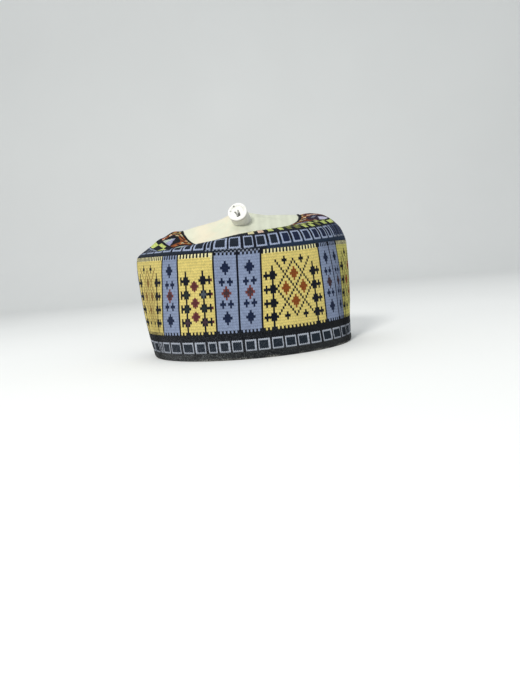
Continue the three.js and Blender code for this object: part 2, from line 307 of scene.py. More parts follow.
def rise_at(table, inset, angle):
    """A section's rise at an angle, on a closed smooth curve through its eight directions."""
    inset, angle = np.broadcast_arrays(inset, angle)
    values = np.stack([column(table, index, inset) for index in DIRECTION_COLUMNS])
    turned = (angle / TURN) % 1 * len(DIRECTION_COLUMNS)
    first = np.floor(turned).astype(int) % len(DIRECTION_COLUMNS)

    def value(step):
        """The rise at the direction so many steps after the first."""
        return np.take_along_axis(values, ((first + step) % len(DIRECTION_COLUMNS))[None], 0)[0]

    before, low, high, after = value(-1), value(0), value(1), value(2)
    return hermite(low, high, (high - before) / 2, (after - low) / 2, turned - np.floor(turned))


def joint_height(angle):
    """Height of the joint between the wall and the crown: the sides' height, and the dip times the squared
    cosine of the angle."""
    return SIDE_HEIGHT + SIDE_DIP * np.cos(angle) ** 2


def wall_point(angle, height):
    """The wall at an angle and a share of the joint's height: an egg-shaped ring through its front, side
    and back."""
    front = column(WALL_SECTIONS, 1, height) * RIM_LENGTH / 2
    back = column(WALL_SECTIONS, 2, height) * RIM_LENGTH / 2
    side = column(WALL_SECTIONS, 3, height) * RIM_WIDTH / 2
    x = (front - back) / 2 + (front + back) / 2 * np.cos(angle)
    return np.stack(np.broadcast_arrays(x, side * np.sin(angle), height * joint_height(angle)), -1)


def opening_point(angle):
    """Plan of the opening: an oval whose two front corners are drawn out, by the squared sine times the
    fourth power of the cosine."""
    stretch = 1 + OPENING_CORNER * np.sin(angle) ** 2 * np.maximum(np.cos(angle), 0) ** 4
    x = OPENING_SHIFT + OPENING_LENGTH / 2 * stretch * np.cos(angle)
    return np.stack([x, OPENING_WIDTH / 2 * stretch * np.sin(angle), np.full_like(x, SIDE_HEIGHT)], -1)


def ring_point(angle, inset):
    """The crown ring: a straight line from the joint to the opening, lifted by the table's rise."""
    angle, inset = np.broadcast_arrays(angle, inset)
    share = inset[..., None]
    point = wall_point(angle, np.ones_like(angle)) * (1 - share) + opening_point(angle) * share
    point[..., 2] += CROWN_RISE * rise_at(RING_SECTIONS, inset, angle)
    return point


def cloth_point(angle, inset):
    """The crown cloth: a straight line from the opening to the peak, at the table's rise."""
    angle, inset = np.broadcast_arrays(angle, inset)
    share = inset[..., None]
    point = opening_point(angle) * (1 - share) + PEAK * share
    point[..., 2] = SIDE_HEIGHT + CROWN_RISE * rise_at(CLOTH_SECTIONS, inset, angle)
    return point


def normals(grid):
    """Outward normals of a grid of rows of points that close round the cap: the cross product of the steps
    round and along it."""
    across = np.roll(grid, -1, 1) - np.roll(grid, 1, 1)
    along = np.gradient(grid, axis=0)
    normal = np.cross(across, along)
    return normal / np.linalg.norm(normal, axis=-1, keepdims=True)


def unevenness(angle, place, amount):
    """Slow dents of a soft wall: a sum of waves round and up the cap."""
    waves = (
        np.sin(3 * angle + 0.7) * np.sin(2.1 * place + 0.4)
        + 0.7 * np.sin(5 * angle - 1.9 + 2.6 * place)
        + 0.5 * np.sin(9 * angle + 2.2 - 4.1 * place)
        + 0.3 * np.sin(16 * angle + 0.9 + 7.3 * place)
    )
    return amount * waves / 2


# The wall's foremost point sets the cap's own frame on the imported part's
reach = column(WALL_SECTIONS, 1, np.linspace(0, 1, 201)).max() * RIM_LENGTH / 2
FRONT_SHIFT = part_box("side_wall")[1].x * 1000 - reach


def to_frame(points):
    """Millimetres of the cap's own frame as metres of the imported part's."""
    return (points + np.array([FRONT_SHIFT, 0, 0])) / 1000


# Stitches on the surface
def pulled(cell, height):
    """Place of stitches at one height in even stitch widths, between the two columns of the table."""
    share = (height - PULL_BOTTOM) / (PULL_TOP - PULL_BOTTOM)
    return column(PULL, 2, cell) * (1 - share) + column(PULL, 1, cell) * share


def angle_of(cell, height):
    """Angles of stitches at one height: their places along the section from the cap's right side, found
    from the section's own length."""
    turn = np.linspace(0, TURN, 1441)
    section = wall_point(turn, np.full_like(turn, height))
    steps = np.linalg.norm(np.diff(section[:, :2], axis=0), axis=1)
    length = np.concatenate([[0], np.cumsum(steps)])
    start = np.interp(1.5 * math.pi, turn, length)
    wanted = start + pulled(np.asarray(cell, float), height) * length[-1] / CELLS
    return np.interp(wanted % length[-1], length, turn)


def mirrored(place):
    """Places round the cap folded over its long axis, so that both sides read the same tables from back to
    front."""
    place = (place + QUARTER) % CELLS - QUARTER
    return np.where(place > QUARTER, 2 * QUARTER - place, place)


# Rows and height of the wall's bands, and rows of the ring's bands between the lines of its table
WALL_BANDS = {"squares": (7, 10.4), "plain": (5, 6.8), "panels": (58, 71.4), "edge": (1, 1.1)}
RING_BANDS = {"edge": 2, "squares": 8, "line": 1, "checks_out": 4, "checks_in": 4, "rays": 18}
wall_rows = [(name, step) for name, (rows, _) in WALL_BANDS.items() for step in range(rows)]
ring_rows = [(name, step) for name, rows in RING_BANDS.items() for step in range(rows)]
row_heights = np.concatenate([np.full(rows, height / rows) for rows, height in WALL_BANDS.values()])
wall_edges = np.concatenate([[0], np.cumsum(row_heights)])
wall_edges = wall_edges / wall_edges[-1]


def ring_edges(place):
    """Edges of the ring's rows at places round the cap, as shares of the ring's length: each band's rows
    divide the room between its two lines evenly."""
    place = mirrored(place)
    inner_lines = [column(RING_LINES, index, place) for index in range(1, RING_LINES.shape[1])]
    lines = [np.zeros_like(place), *inner_lines, np.ones_like(place)]
    edges = [lines[0][None]]
    for rows, low, high in zip(RING_BANDS.values(), lines[:-1], lines[1:]):
        share = np.arange(1, rows + 1)[:, None] / rows
        edges.append(low * (1 - share) + high * share)
    return np.concatenate(edges)


# Panels round the wall from the first cell: kind and width in cells
PANELS = (
    [("faded", 36), ("blue", 12), ("diamonds", 21), ("blue", 12), ("blue", 12)]
    + [("lattice", 36), ("blue", 12), ("blue", 12)] * 4
    + [("blue", 12)]
)
PANEL_FACE_ROWS = WALL_BANDS["panels"][0]


def recolour(cells, old, new, where=True):
    """Takes one yarn in place of another, wherever it is asked."""
    cells[(cells == YARN[old]) & where] = YARN[new]


def panel_grid(width):
    """Places of a panel's faces in stitches from its upper corner. A face is half a stitch wide and half a
    stitch tall."""
    y, x = np.mgrid[0:PANEL_FACE_ROWS, 0:FACES_PER_CELL * width]
    return x / FACES_PER_CELL - 0.25, y / 2 - 0.25


def near(x, y, x0, y0, size):
    """A diamond about (x0, y0) with steps of a whole stitch: the rounded distances across and down add up
    to its size at most."""
    return np.floor(np.abs(x - x0) + 0.5) + np.floor(np.abs(y - y0) + 0.5) <= size


def lattice_panel(line, eye):
    """Straw panel, 36 stitches wide: a lattice of stepped diagonals with diamonds in its eyes, and a chain
    of dark diamonds down each side."""
    x, y = panel_grid(36)
    y = y - 4
    at, row = np.round(x), np.round(y)
    cells = np.full(x.shape, YARN["straw"])
    drop, rise = at - row, at + row
    upper, lower = (row >= 0) & (row <= 10), (row >= 10) & (row <= 20)
    falling = (drop == 8) & (upper | lower) | (drop == 18) & upper | (drop == -2) & lower
    rising = (rise == 28) & (row <= 19) & (upper | lower) | (rise == 18) & upper | (rise == 38) & lower
    cells[falling | rising] = YARN[line]
    for x0, y0 in ((13, 0), (23, 0), (13, 20), (23, 20)):
        cells[near(x, y, x0, y0, 1)] = YARN["dark"]
    for x0, y0 in ((18, 5), (13, 10), (23, 10), (18, 15)):
        cells[near(x, y, x0, y0, 2)] = YARN[eye]
    for chain, beside in ((6, 2.5), (30, 33)):
        cells[(at == chain) & (row >= 2)] = YARN["dark"]
        for y0 in (5, 10, 15, 20):
            cells[near(x, y, chain, y0, 2) | near(x, y, beside, y0, 1)] = YARN["dark"]
    return cells


def blue_panel():
    """Blue panel, 12 stitches wide: a navy diamond above and below, pairs of small crosses, and a plum
    diamond with a dark heart in the middle."""
    x, y = panel_grid(12)
    cells = np.full(x.shape, YARN["blue"])
    for y0 in (5, 23):
        cells[near(x, y, 6, y0, 2)] = YARN["navy"]
    for x0, y0 in ((4, 10), (8, 10), (4, 18), (8, 18)):
        cells[near(x, y, x0, y0, 1)] = YARN["navy"]
    cells[near(x, y, 6, 14, 2)] = YARN["plum"]
    cells[near(x, y, 6, 14, 1)] = YARN["umber"]
    return cells


def diamonds_panel():
    """Straw panel, 21 stitches wide: two chains of dark diamonds, some with a paler heart, small bars or
    crosses beside them, and maroon diamonds with plum tips down the middle."""
    x, y = panel_grid(21)
    at, row = np.round(x), np.round(y)
    cells = np.full(x.shape, YARN["straw"])
    knots = (9, 14, 19, 24)
    for chain, hearts in ((5, ("dark", "pine", "pine", "umber")), (15, ("dark", "slate", "pine", "umber"))):
        cells[(at == chain) & (row >= 6)] = YARN["dark"]
        for y0, heart in zip(knots, hearts):
            cells[near(x, y, chain, y0, 2)] = YARN["dark"]
            cells[near(x, y, chain, y0, 1)] = YARN[heart]
    for y0 in knots:
        cells[(at == 2) & (np.abs(y - y0) < 1.5)] = YARN["dark"]
        cells[near(x, y, 18.5, y0, 1)] = YARN["dark"]
        cells[near(x, y, 18.5, y0, 1) & (x > 19)] = YARN["maroon"]
    for y0 in (11, 17, 22):
        cells[near(x, y, 10, y0, 2) & (np.abs(y - y0) < 2)] = YARN["plum"]
        cells[near(x, y, 10, y0, 1)] = YARN["maroon"]
    return cells


def panel_chart():
    """All panels side by side, top row first: a dark stitch divides them, and dark teeth bite into both
    ends. The middle diamonds of the two blue panels at the front are darker than the others, and the straw
    of the panel after them is greener. The lattice of the first panel is faded."""
    drawn = {
        "lattice": lattice_panel("dark", "rust"), "faded": lattice_panel("tan", "tan"), "blue": blue_panel(),
        "diamonds": diamonds_panel(),
    }
    chart = np.concatenate([drawn[kind] for kind, _ in PANELS], axis=1)
    stitch = np.arange(COLUMNS) // FACES_PER_CELL
    chart[:2, stitch % 2 == 0] = YARN["dark"]
    chart[-2:, stitch % 2 == 0] = YARN["dark"]
    starts = np.cumsum([0] + [width for _, width in PANELS[:-1]])
    chart[:, np.isin(stitch, starts)] = YARN["dark"]
    recolour(chart, "plum", "umber", (stitch >= starts[6]) & (stitch < starts[8]))
    recolour(chart, "straw", "sage", (stitch >= starts[8]) & (stitch < starts[9]))
    return chart


def squares_cells(place, row, rows, squares, ground, inside, outline):
    """Squares with an outline one stitch wide, at the places of a table."""
    place = mirrored(place)
    index = np.clip(np.searchsorted(squares[:, 0], place, side="right") - 1, 0, len(squares) - 1)
    left, right = squares[index].T
    drawn = (place >= left) & (place < right)
    outline_width = np.minimum(OUTLINE_WIDTH, OUTLINE_SHARE * (right - left))
    border = np.minimum(place - left, right - place) < outline_width
    cells = np.where(drawn, YARN[inside], YARN[ground])
    return np.where(drawn & (border | (row in (0, rows - 1))), YARN[outline], cells)


def inside_of(place, ends):
    """Whether places lie between two ends."""
    return (place >= ends[0]) & (place < ends[1])


def face_cells():
    """The stitch at the middle of every face of a row, and that stitch as a whole number."""
    cell = (np.arange(COLUMNS) + 0.5) / FACES_PER_CELL + FIRST_CELL
    return cell, np.floor(cell).astype(int)


def wall_chart():
    """Yarn of every face of the wall, bottom row first. The panels' upper teeth are one and a half stitches
    deep, with a paler yarn between them, and specks show where the knitting was joined. The upper edge is
    bluer towards the front. A cream thread runs up the seam below it."""
    cell, whole = face_cells()
    joined = inside_of(whole, WALL_SPECKS)
    squares_height = 0.15
    place = pulled(cell, squares_height)
    panels = panel_chart()
    teeth = PANEL_FACE_ROWS - 3
    rows = []
    for name, step in wall_rows:
        row = np.full(cell.shape, YARN["ink" if name == "plain" else "dark"])
        if name == "squares":
            row = squares_cells(place, step, WALL_BANDS[name][0], WALL_SQUARES, "ink", "pool", "outline")
        elif name == "panels":
            row = panels[-1 - step].copy()
        if name == "panels" and step >= teeth:
            row[(whole % 2 == FIRST_CELL % 2) & ~joined] = YARN["dark"]
            recolour(row, "straw", "cream")
            recolour(row, "sage", "cream")
        rows.append(row)
    chart = np.array(rows)
    chart[-1, mirrored(pulled(cell, PULL_TOP)) > BLUER_FROM] = YARN["teal"]
    chart[-1, joined & (whole % 2 == 1)] = YARN["speck"]
    chart[-6:-1, np.abs(cell - SEAM_CELL + 0.5) < 0.6] = YARN["cream"]
    return chart


def mottled(blotch, front, yarns, ground):
    """The first yarn of a list whose share, smaller towards the front, is more than the blotch's number, or
    else the ground's."""
    taken = [blotch < share - less * front for _, share, less in yarns]
    return np.select(taken, [YARN[name] for name, _, _ in yarns], ground)


def rays_cells(place, share, blotch):
    """Rays round the opening: a pale triangle that points inwards, a dark ground, a rust horseshoe round it
    whose arms run out between the triangles, and mottled yarns between the horseshoes. A horseshoe's level
    is the way in plus the fourth power of the distance from the ray's middle. Every part's place shifts
    evenly from the back to the front. `blotch` picks a yarn, from 0 to 1, for every few stitches."""
    place = mirrored(place)
    off = (place + QUARTER + RAY_PITCH / 2) % RAY_PITCH - RAY_PITCH / 2
    side = np.abs(off)
    front = np.clip((place + 60) / 120, 0, 1)
    base, tip = 0.1 - 0.07 * front, 0.56 - 0.2 * front
    low, high = 0.7 - 0.04 * front, 0.86 + 0.02 * front
    level = share + 0.45 * (side / (RAY_PITCH / 2)) ** 4
    night = np.where(front > 0.5, YARN["purple"], YARN["dark"])
    warm = mottled(blotch, front, WARM_YARNS, night)
    pale = mottled(blotch, front, PALE_YARNS, night)
    cells = night.copy()
    ring = (level >= low) & (level < high)
    cells[ring] = warm[ring]
    arm = (side > 7.4) & (share < low) & (share > base)
    cells[arm] = warm[arm]
    between = level >= high + 0.035
    cells[between] = pale[between]
    width = 6.6 * (tip - share) / (tip - base)
    cells[(side < width + 1.3) & (share < tip + 0.08)] = YARN["dark"]
    inside = (share > base) & (share < tip) & (side < width)
    cells[inside] = np.where(front > 0.5, YARN["lilac"], YARN["lavender"])[inside]
    cells[inside & (off < -0.8) & (front < 0.5)] = YARN["mint"]
    spot = (front > 0.5) & (side < 2.6) & (np.abs(share - 0.5) < 0.05)
    cells[spot] = YARN["speck"]
    cells[share < base - 0.02] = YARN["dark"]
    cells[share > 0.96] = YARN["dark"]
    return cells


def ring_chart():
    """Yarn of every face of the crown ring, joint first. Towards the front the ground beside the joint is
    bluer, the squares are navy inside, and the last outlines are dusky. Beside the knob the outer checks
    are darned over with dark yarn, with a cream and a salmon bit left, and a few checks in front are
    faded."""
    cell, whole = face_cells()
    place = pulled(cell, 1.0)
    folded = mirrored(place)
    check = np.searchsorted(CHECK_EDGES, folded) % 2 == 0
    outer = np.where(check & ~inside_of(place, DARNED), YARN["lime"], YARN["dark"])
    for ends in FADED_CHECKS:
        outer[check & inside_of(place, ends)] = YARN["moss"]
    outer[inside_of(place, CREAM_BIT)] = YARN["cream"]
    outer[inside_of(place, SALMON_BIT)] = YARN["salmon"]
    blotches = np.random.default_rng(SEEDS["ray_blotches"]).random((len(ring_rows), CELLS))
    rows = []
    for name, step in ring_rows:
        if name == "squares":
            row = squares_cells(place, step, RING_BANDS[name], RING_SQUARES, "dark", "shade", "outline_top")
            recolour(row, "outline_top", "dusk" if step else "speck", folded > DUSKY_FROM)
            recolour(row, "shade", "navy", folded > NAVY_FROM)
            recolour(row, "dark", "teal", (folded > BLUER_FROM) & (step < 2))
            rows.append(row)
        elif name == "checks_out":
            rows.append(outer)
        elif name == "checks_in":
            rows.append(np.where(check, YARN["dark"], YARN["lime"]))
        elif name == "rays":
            blotch = blotches[step // 2][(np.arange(len(cell)) + 2 * (step // 2)) // 4 % CELLS]
            share = np.full(cell.shape, (step + 0.5) / RING_BANDS[name])
            rows.append(rays_cells(place, share, blotch))
        elif name == "edge":
            specks = inside_of(whole, RING_SPECKS) & (whole % 2 == 0) & (step == 1)
            ground = np.where(folded > BLUER_FROM, YARN["teal"], YARN["shade"])
            rows.append(np.where(specks, YARN["speck"], ground))
        else:
            rows.append(np.full(cell.shape, YARN["dark"]))
    return np.array(rows)


# Meshes
def ring_faces(rows, columns, closed=False):
    """Quads between neighbouring rows of a grid that closes round the cap. Where it is closed, the last row
    joins the first."""
    row, at = np.mgrid[0:rows if closed else rows - 1, 0:columns]
    above, beside = (row + 1) % rows, (at + 1) % columns
    corners = (row * columns + at, row * columns + beside, above * columns + beside, above * columns + at)
    return np.stack(corners, -1).reshape(-1, 4)


def capped_faces(rows, columns):
    """Faces of a grid whose last row is closed by a fan to the point after the grid, and its first row by a
    fan to the next point."""
    at, beside = np.arange(columns), (np.arange(columns) + 1) % columns
    last, tip = (rows - 1) * columns, rows * columns
    end = np.stack([last + at, last + beside, np.full(columns, tip)], -1)
    start = np.stack([beside, at, np.full(columns, tip + 1)], -1)
    return [ring_faces(rows, columns), end, start]


def mesh_object(name, points, faces, finish):
    """A smooth mesh in the scene, from points in metres and lists of faces."""
    mesh = bpy.data.meshes.new(name)
    mesh.from_pydata(points, [], faces)
    mesh.polygons.foreach_set("use_smooth", np.full(len(mesh.polygons), True))
    mesh.materials.append(finish)
    made = bpy.data.objects.new(name, mesh)
    bpy.context.scene.collection.objects.link(made)
    return made


def piece(name, points, faces, finish, node, uv=None, colours=None):
    """A piece of the cap: points in its millimetres, groups of faces as rows of indices, and uv and colours
    for every corner in the faces' order."""
    made = mesh_object(name, to_frame(points), [face for group in faces for face in group.tolist()], finish)
    mesh = made.data
    if uv is not None:
        mesh.uv_layers.new(name="stitch").uv.foreach_set("vector", uv.astype(np.float32).ravel())
    if colours is not None:
        light = np.concatenate([colours, np.ones((len(colours), 1))], 1)
        layer = mesh.color_attributes.new("yarn", "FLOAT_COLOR", "CORNER")
        layer.data.foreach_set("color", light.astype(np.float32).ravel())
    mesh.validate()
    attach(made, "root")
    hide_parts(node)
    return made


def grid_uv(u_edges, v_edges):
    """Corner coordinates of a grid's quads, in the order of ring_faces."""
    edges = np.stack(np.meshgrid(u_edges, v_edges), -1)
    corners = (edges[:-1, :-1], edges[:-1, 1:], edges[1:, 1:], edges[1:, :-1])
    return np.stack(corners, 2).reshape(-1, 2)


def per_corner(values):
    """One value for each quad, repeated for its four corners."""
    return np.repeat(values.reshape(-1, values.shape[-1]), 4, axis=0)


def spotted(colours, seed, amount):
    """Colours made lighter or darker, each by its own small random share."""
    spread = np.random.default_rng(seed).normal(1, amount, colours.shape[:-1])
    return colours * np.clip(spread, 0.6, 1.5)[..., None]


def backing(shown, seed):
    """The inside of the knitting: the outside's yarns averaged over ten stitches round the cap and mixed
    with a dark yarn, more of it in every other row."""
    mixed = np.mean([np.roll(shown, shift, axis=1) for shift in range(-10, 11, 4)], axis=0)
    share = np.where(np.arange(len(shown)) % 2 == 0, 0.26, 0.44)[:, None, None]
    return spotted(mixed * share + YARN_LIGHT[YARN["shade"]] * (1 - share), seed, INSIDE_SPOTS)


cell_edges = np.arange(COLUMNS + 1) / FACES_PER_CELL
cell_places = cell_edges[:-1] + FIRST_CELL
# 0.5 at the edge between two stitches, -0.5 in the middle of a stitch
stitch_side = np.abs((np.arange(COLUMNS) % FACES_PER_CELL) / FACES_PER_CELL - 0.5) * 2 - 0.5


def panel_sag(share, low):
    """Shares of the wall's height with the panels' upper edge let down by up to 2 mm on the cap's right
    side, most next to the seam: below the edge the rows close up evenly, above it they open out. `low` is
    the share where the wall starts."""
    edge = wall_edges[-2]
    # Where the edge lies without a sag
    level = 0.998
    place = mirrored(pulled(cell_places, 1.0))
    drop = sum(depth * bell(place, middle, width) for depth, middle, width in SAGS)
    let_down = (level - drop[None, :] - low) / (1 - low)
    over = let_down + (share - edge) / (1 - edge) * (1 - let_down)
    return np.where(share <= edge, share * let_down / edge, over)


def uneven_stitches(grid, seed, amount):
    """A random height for every point of a grid, from a normal spread."""
    return amount * np.random.default_rng(seed).normal(size=grid.shape)


def within(share, steepness):
    """0 at both ends of the way from 0 to 1, rising evenly to 1 within 1 / steepness of them."""
    return np.minimum(1, np.minimum(share, 1 - share) * steepness)


def knitted(name, outside, inside, inner_count, shown, seed, finish, node):
    """A knitted piece with both faces: the rows of the outside, then fewer rows of the inside in the other
    order, joined at both edges. Its stitch coordinates count the wales and the rows, on the inside too."""
    rows = len(outside) - 1
    inner_rows = np.linspace(0, rows, inner_count).round().astype(int)[::-1]
    points = np.concatenate([outside, inside[inner_rows]]).reshape(-1, 3)
    faces = ring_faces(rows + 1 + inner_count, COLUMNS, closed=True)
    # The faces over the upper edge, those of the inside and those under the lower edge
    hidden = backing(shown[np.concatenate([[rows - 1], inner_rows[1:], [0]])], seed)
    v_edges = np.concatenate([np.arange(rows + 1), rows + 1 + (rows - inner_rows)])
    uv = grid_uv(cell_edges, np.append(v_edges, v_edges[-1] + 1))
    colours = per_corner(np.concatenate([shown, hidden]))
    return piece(name, points, [faces], finish, node, uv, colours)


def make_wall(finish):
    """Wall: rows of stitches whose upper and lower edges zigzag as the legs of knit stitches do, ribs
    between the wales, a groove at the seam and slow dents. The inside is the same grid moved in by the
    knit's thickness, with a part of the relief taken out."""
    step = np.diff(wall_edges)
    lift = ZIGZAG * np.concatenate([[0], (step[:-1] + step[1:]) / 2, [0]])
    share = wall_edges[:, None] + lift[:, None] * stitch_side[None, :] * 2
    low_share = (HEM_HEIGHT + HEM_GAP) / SIDE_HEIGHT
    heights = low_share + (1 - low_share) * wall_edges
    angle = np.array([angle_of(cell_places, height) for height in heights])
    low = (HEM_HEIGHT + HEM_GAP) / joint_height(angle)
    place = low + (1 - low) * panel_sag(share, low)
    outside = wall_point(angle, np.clip(place, 0, 1))
    normal = normals(outside)
    free = within(wall_edges, 40)[:, None]
    relief = unevenness(angle, place * 3, WALL_DENTS) * free - JOINT_TUCK * (1 - free)
    relief = relief - WALL_RIBS * stitch_side - SEAM_DEPTH * bell(cell_places, SEAM_CELL, SEAM_WIDTH)
    relief = relief + uneven_stitches(relief, SEEDS["wall_relief"], WALL_STITCHES) * free
    outside = outside + normal * relief[..., None]
    inside = outside - normal * (KNIT_WALL + relief[..., None] * INSIDE_LOSS)
    shown = spotted(YARN_LIGHT[wall_chart()], SEEDS["wall_yarns"], WALL_SPOTS)
    return knitted("wall", outside, inside, WALL_INSIDE_ROWS, shown, SEEDS["wall_inside"], finish,
                   "side_wall")


def ring_insets(angle, shares):
    """Insets at which the ring has covered the wanted shares of its length, joint to opening, at each
    angle."""
    fine = np.linspace(0, 1, 121)
    line = ring_point(angle[None, :], fine[:, None])
    steps = np.linalg.norm(np.diff(line, axis=0), axis=-1)
    length = np.concatenate([np.zeros((1, len(angle))), np.cumsum(steps, 0)])
    length = length / length[-1]
    index = np.clip((length[None] < shares[:, None, :]).sum(1), 1, len(fine) - 1)
    before = np.take_along_axis(length, index - 1, 0)
    after = np.take_along_axis(length, index, 0)
    return fine[index - 1] + (shares - before) / (after - before) * (fine[1] - fine[0])


def make_ring(finish):
    """Crown ring: the wall's wales carried over the shoulder, closer together towards the opening, with the
    same zigzag rows, ribs and dents. The inside is the same grid moved in by the knit's thickness."""
    angle = angle_of(cell_places, 1.0)
    shares = ring_edges(pulled(cell_places, 1.0)) * RING_END
    insets = ring_insets(angle, shares)
    step = np.gradient(insets, axis=0)
    lift = ZIGZAG * step * stitch_side[None, :] * 2
    lift[0] = lift[-1] = 0
    insets = np.clip(insets + lift, 0, 1)
    outside = ring_point(angle[None, :], insets)
    normal = normals(outside)
    free = within(shares, 30)
    relief = unevenness(angle[None, :], 3 + 2 * shares, RING_DENTS) * free
    relief = relief - JOINT_TUCK * np.exp(-shares * 60)
    relief = relief - RING_RIBS * stitch_side[None, :] * (1 - 0.5 * shares)
    relief = relief + uneven_stitches(relief, SEEDS["ring_relief"], RING_STITCHES) * free
    outside = outside + normal * relief[..., None]
    inside = outside - normal * KNIT_WALL
    shown = spotted(YARN_LIGHT[ring_chart()], SEEDS["ring_yarns"], RING_SPOTS)
    return knitted("crown_shoulder", outside, inside, RING_INSIDE_ROWS, shown, SEEDS["ring_inside"], finish,
                   "crown_ring")


def make_hem(finish):
    """Turned hem: its section carried round the wall's outline, ribbed along the wales, with slow waves and
    uneven stitches above a flat underside."""
    depth, z = HEM_SECTION[:, 0][:, None], HEM_SECTION[:, 1][:, None]
    angle = angle_of(cell_places, 0.04)[None, :]
    place = np.clip(z / joint_height(angle), 0, 1)
    surface = wall_point(angle, place)
    out = normals(wall_point(angle, np.linspace(0, 0.1, 5)[:, None]))[1]
    out[:, 2] = 0
    out = out / np.linalg.norm(out, axis=-1, keepdims=True)
    free = np.clip(z / 1.2, 0, 1)
    waves = 0.12 * np.sin(41 * angle + 1) + 0.1 * np.sin(67 * angle)
    relief = (waves - HEM_RIBS * stitch_side[None, :]) * free
    relief = relief + uneven_stitches(relief, SEEDS["hem_relief"], HEM_STITCHES) * free
    points = (surface + out[None] * (relief - depth)[..., None]).reshape(-1, 3)
    faces = ring_faces(len(HEM_SECTION), COLUMNS, closed=True)
    steps = np.linalg.norm(np.diff(HEM_SECTION, axis=0), axis=1)
    v_edges = np.concatenate([[0], np.cumsum(steps)]) / HEM_ROW
    # The underside is most of a row wide
    uv = grid_uv(cell_edges, np.append(v_edges, v_edges[-1] + 0.9))
    return piece("hem", points, [faces], finish, "rim_hem", uv)


def make_binding(finish):
    """Binding of the opening: yarn laid over the knitted edge in slanted turns, a tube round the opening
    whose radius swells at each turn of yarn, by a sine, and towards both ends of the opening, by a cubed
    cosine."""
    around, sides, turns = 1500, 12, 250
    outset = 0.15
    angle = np.linspace(0, TURN, around, endpoint=False)
    turn = np.linspace(0, TURN, sides, endpoint=False)
    out = np.stack([np.cos(angle), np.sin(angle), 0 * angle], -1)
    middle = opening_point(angle)
    middle[:, 2] = ring_point(angle, np.ones_like(angle))[:, 2] - KNIT_WALL / 2
    middle = middle + out * outset
    phase = turns * angle[None, :] + turn[:, None]
    swell = 0.16 * np.abs(np.cos(angle)) ** 3 + 0.03 * np.sin(3 * angle)
    radius = EDGE_RADIUS * (1.02 + 0.13 * np.abs(np.sin(phase / 2)) + swell[None, :])
    spoke = np.cos(turn)[:, None, None] * out[None] + np.sin(turn)[:, None, None] * np.array([0, 0, 1.0])
    points = (middle[None] + radius[..., None] * spoke).reshape(-1, 3)
    faces = ring_faces(sides, around, closed=True)
    uv = grid_uv(np.arange(around + 1) / around * turns, np.arange(sides + 1) / sides)
    return piece("binding", points, [faces], finish, "crown_edge", uv)


def cloth_relief(angle, inset):
    """Folds of the tented cloth: short gathers along the bound edge, long soft folds from the edge to the
    knob, and a slack fold across each half."""
    gathers = 0.22 * np.sin(34 * angle + 1.4 * np.sin(3 * angle)) * np.exp(-inset * 9)
    folds = 0.45 * np.sin(7 * angle + 0.8) * np.sin(math.pi * np.clip(inset, 0, 1)) ** 1.2
    fine = 0.2 * np.sin(13 * angle + 2.1 + 3 * inset) * np.sin(math.pi * inset)
    along = np.cos(angle) * (1 - inset)
    slack = 0.8 * bell(along, 0.45, 0.1) + 0.6 * bell(along, -0.4, 0.08)
    slack = slack * (1 - inset) * np.minimum(1, inset * 5)
    return gathers + folds + fine - slack


def make_cloth(finish):
    """Crown cloth: the tented sheet from the binding to its peak with its folds, and the same surface moved
    in by the cloth's thickness. The two faces join at the rim, and each is closed by a point at the peak."""
    around, rows = 480, 64
    angle = np.linspace(0, TURN, around, endpoint=False)[None, :]
    inset = np.linspace(0.012, 0.985, rows)[:, None]
    outside = cloth_point(angle, inset)
    normal = normals(outside)
    outside = outside + normal * cloth_relief(angle, inset)[..., None] * (1 - inset[..., None] ** 6)
    inner = np.linspace(0, rows - 1, 24).round().astype(int)
    inside = (outside - normal * CLOTH_WALL)[inner][::-1]
    points = np.concatenate([inside, outside]).reshape(-1, 3)
    sink = 0.35
    points = np.concatenate([points, [PEAK - [0, 0, sink]], [PEAK - [0, 0, CLOTH_WALL + sink]]])
    faces = capped_faces(len(inner) + rows, around)
    return piece("tented_cloth", points, faces, finish, "crown_cloth")


def knob_axes():
    """The knob's axis, swung round the cap and lifted, two directions across it and its seat on the cloth.
    The second direction points up on its face."""
    flat = math.cos(KNOB_LIFT)
    axis = np.array([math.cos(KNOB_SWING) * flat, math.sin(KNOB_SWING) * flat, math.sin(KNOB_LIFT)])
    across = np.cross(np.array([0, 0, 1.0]), axis)
    across = across / np.linalg.norm(across)
    up = np.cross(axis, across)
    seat = cloth_point(np.array([KNOB_SEAT_ANGLE]), np.array([KNOB_SEAT_SHARE]))[0]
    return axis, across, up, seat - [0, KNOB_SINK, KNOB_SINK]


def ease(value, low, high):
    """A smooth step from 0 at low to 1 at high, or the other way round where low is the larger."""
    t = np.clip((value - low) / (high - low), 0, 1)
    return t * t * (3 - 2 * t)


def strand(x, y, start, end, width):
    """1 along a line between two points, falling to 0 at its width."""
    (x0, y0), (x1, y1) = start, end
    t = np.clip(((x - x0) * (x1 - x0) + (y - y0) * (y1 - y0)) / ((x1 - x0) ** 2 + (y1 - y0) ** 2), 0, 1)
    return 1 - ease(np.hypot(x - x0 - t * (x1 - x0), y - y0 - t * (y1 - y0)), 0.35 * width, width)


# Folds in the knob's face: strength, the two ends and the width, in millimetres across and up from its
# middle
KNOB_FOLDS = (
    (1.0, (1.2, -1.0), (1.7, -3.2), 1.5), (1.0, (1.4, -3.3), (0.2, -3.9), 1.4),
    (0.6, (0.5, 1.7), (1.3, -1.2), 1.0), (0.7, (-2.4, 0.2), (0.4, -3.4), 1.0),
)


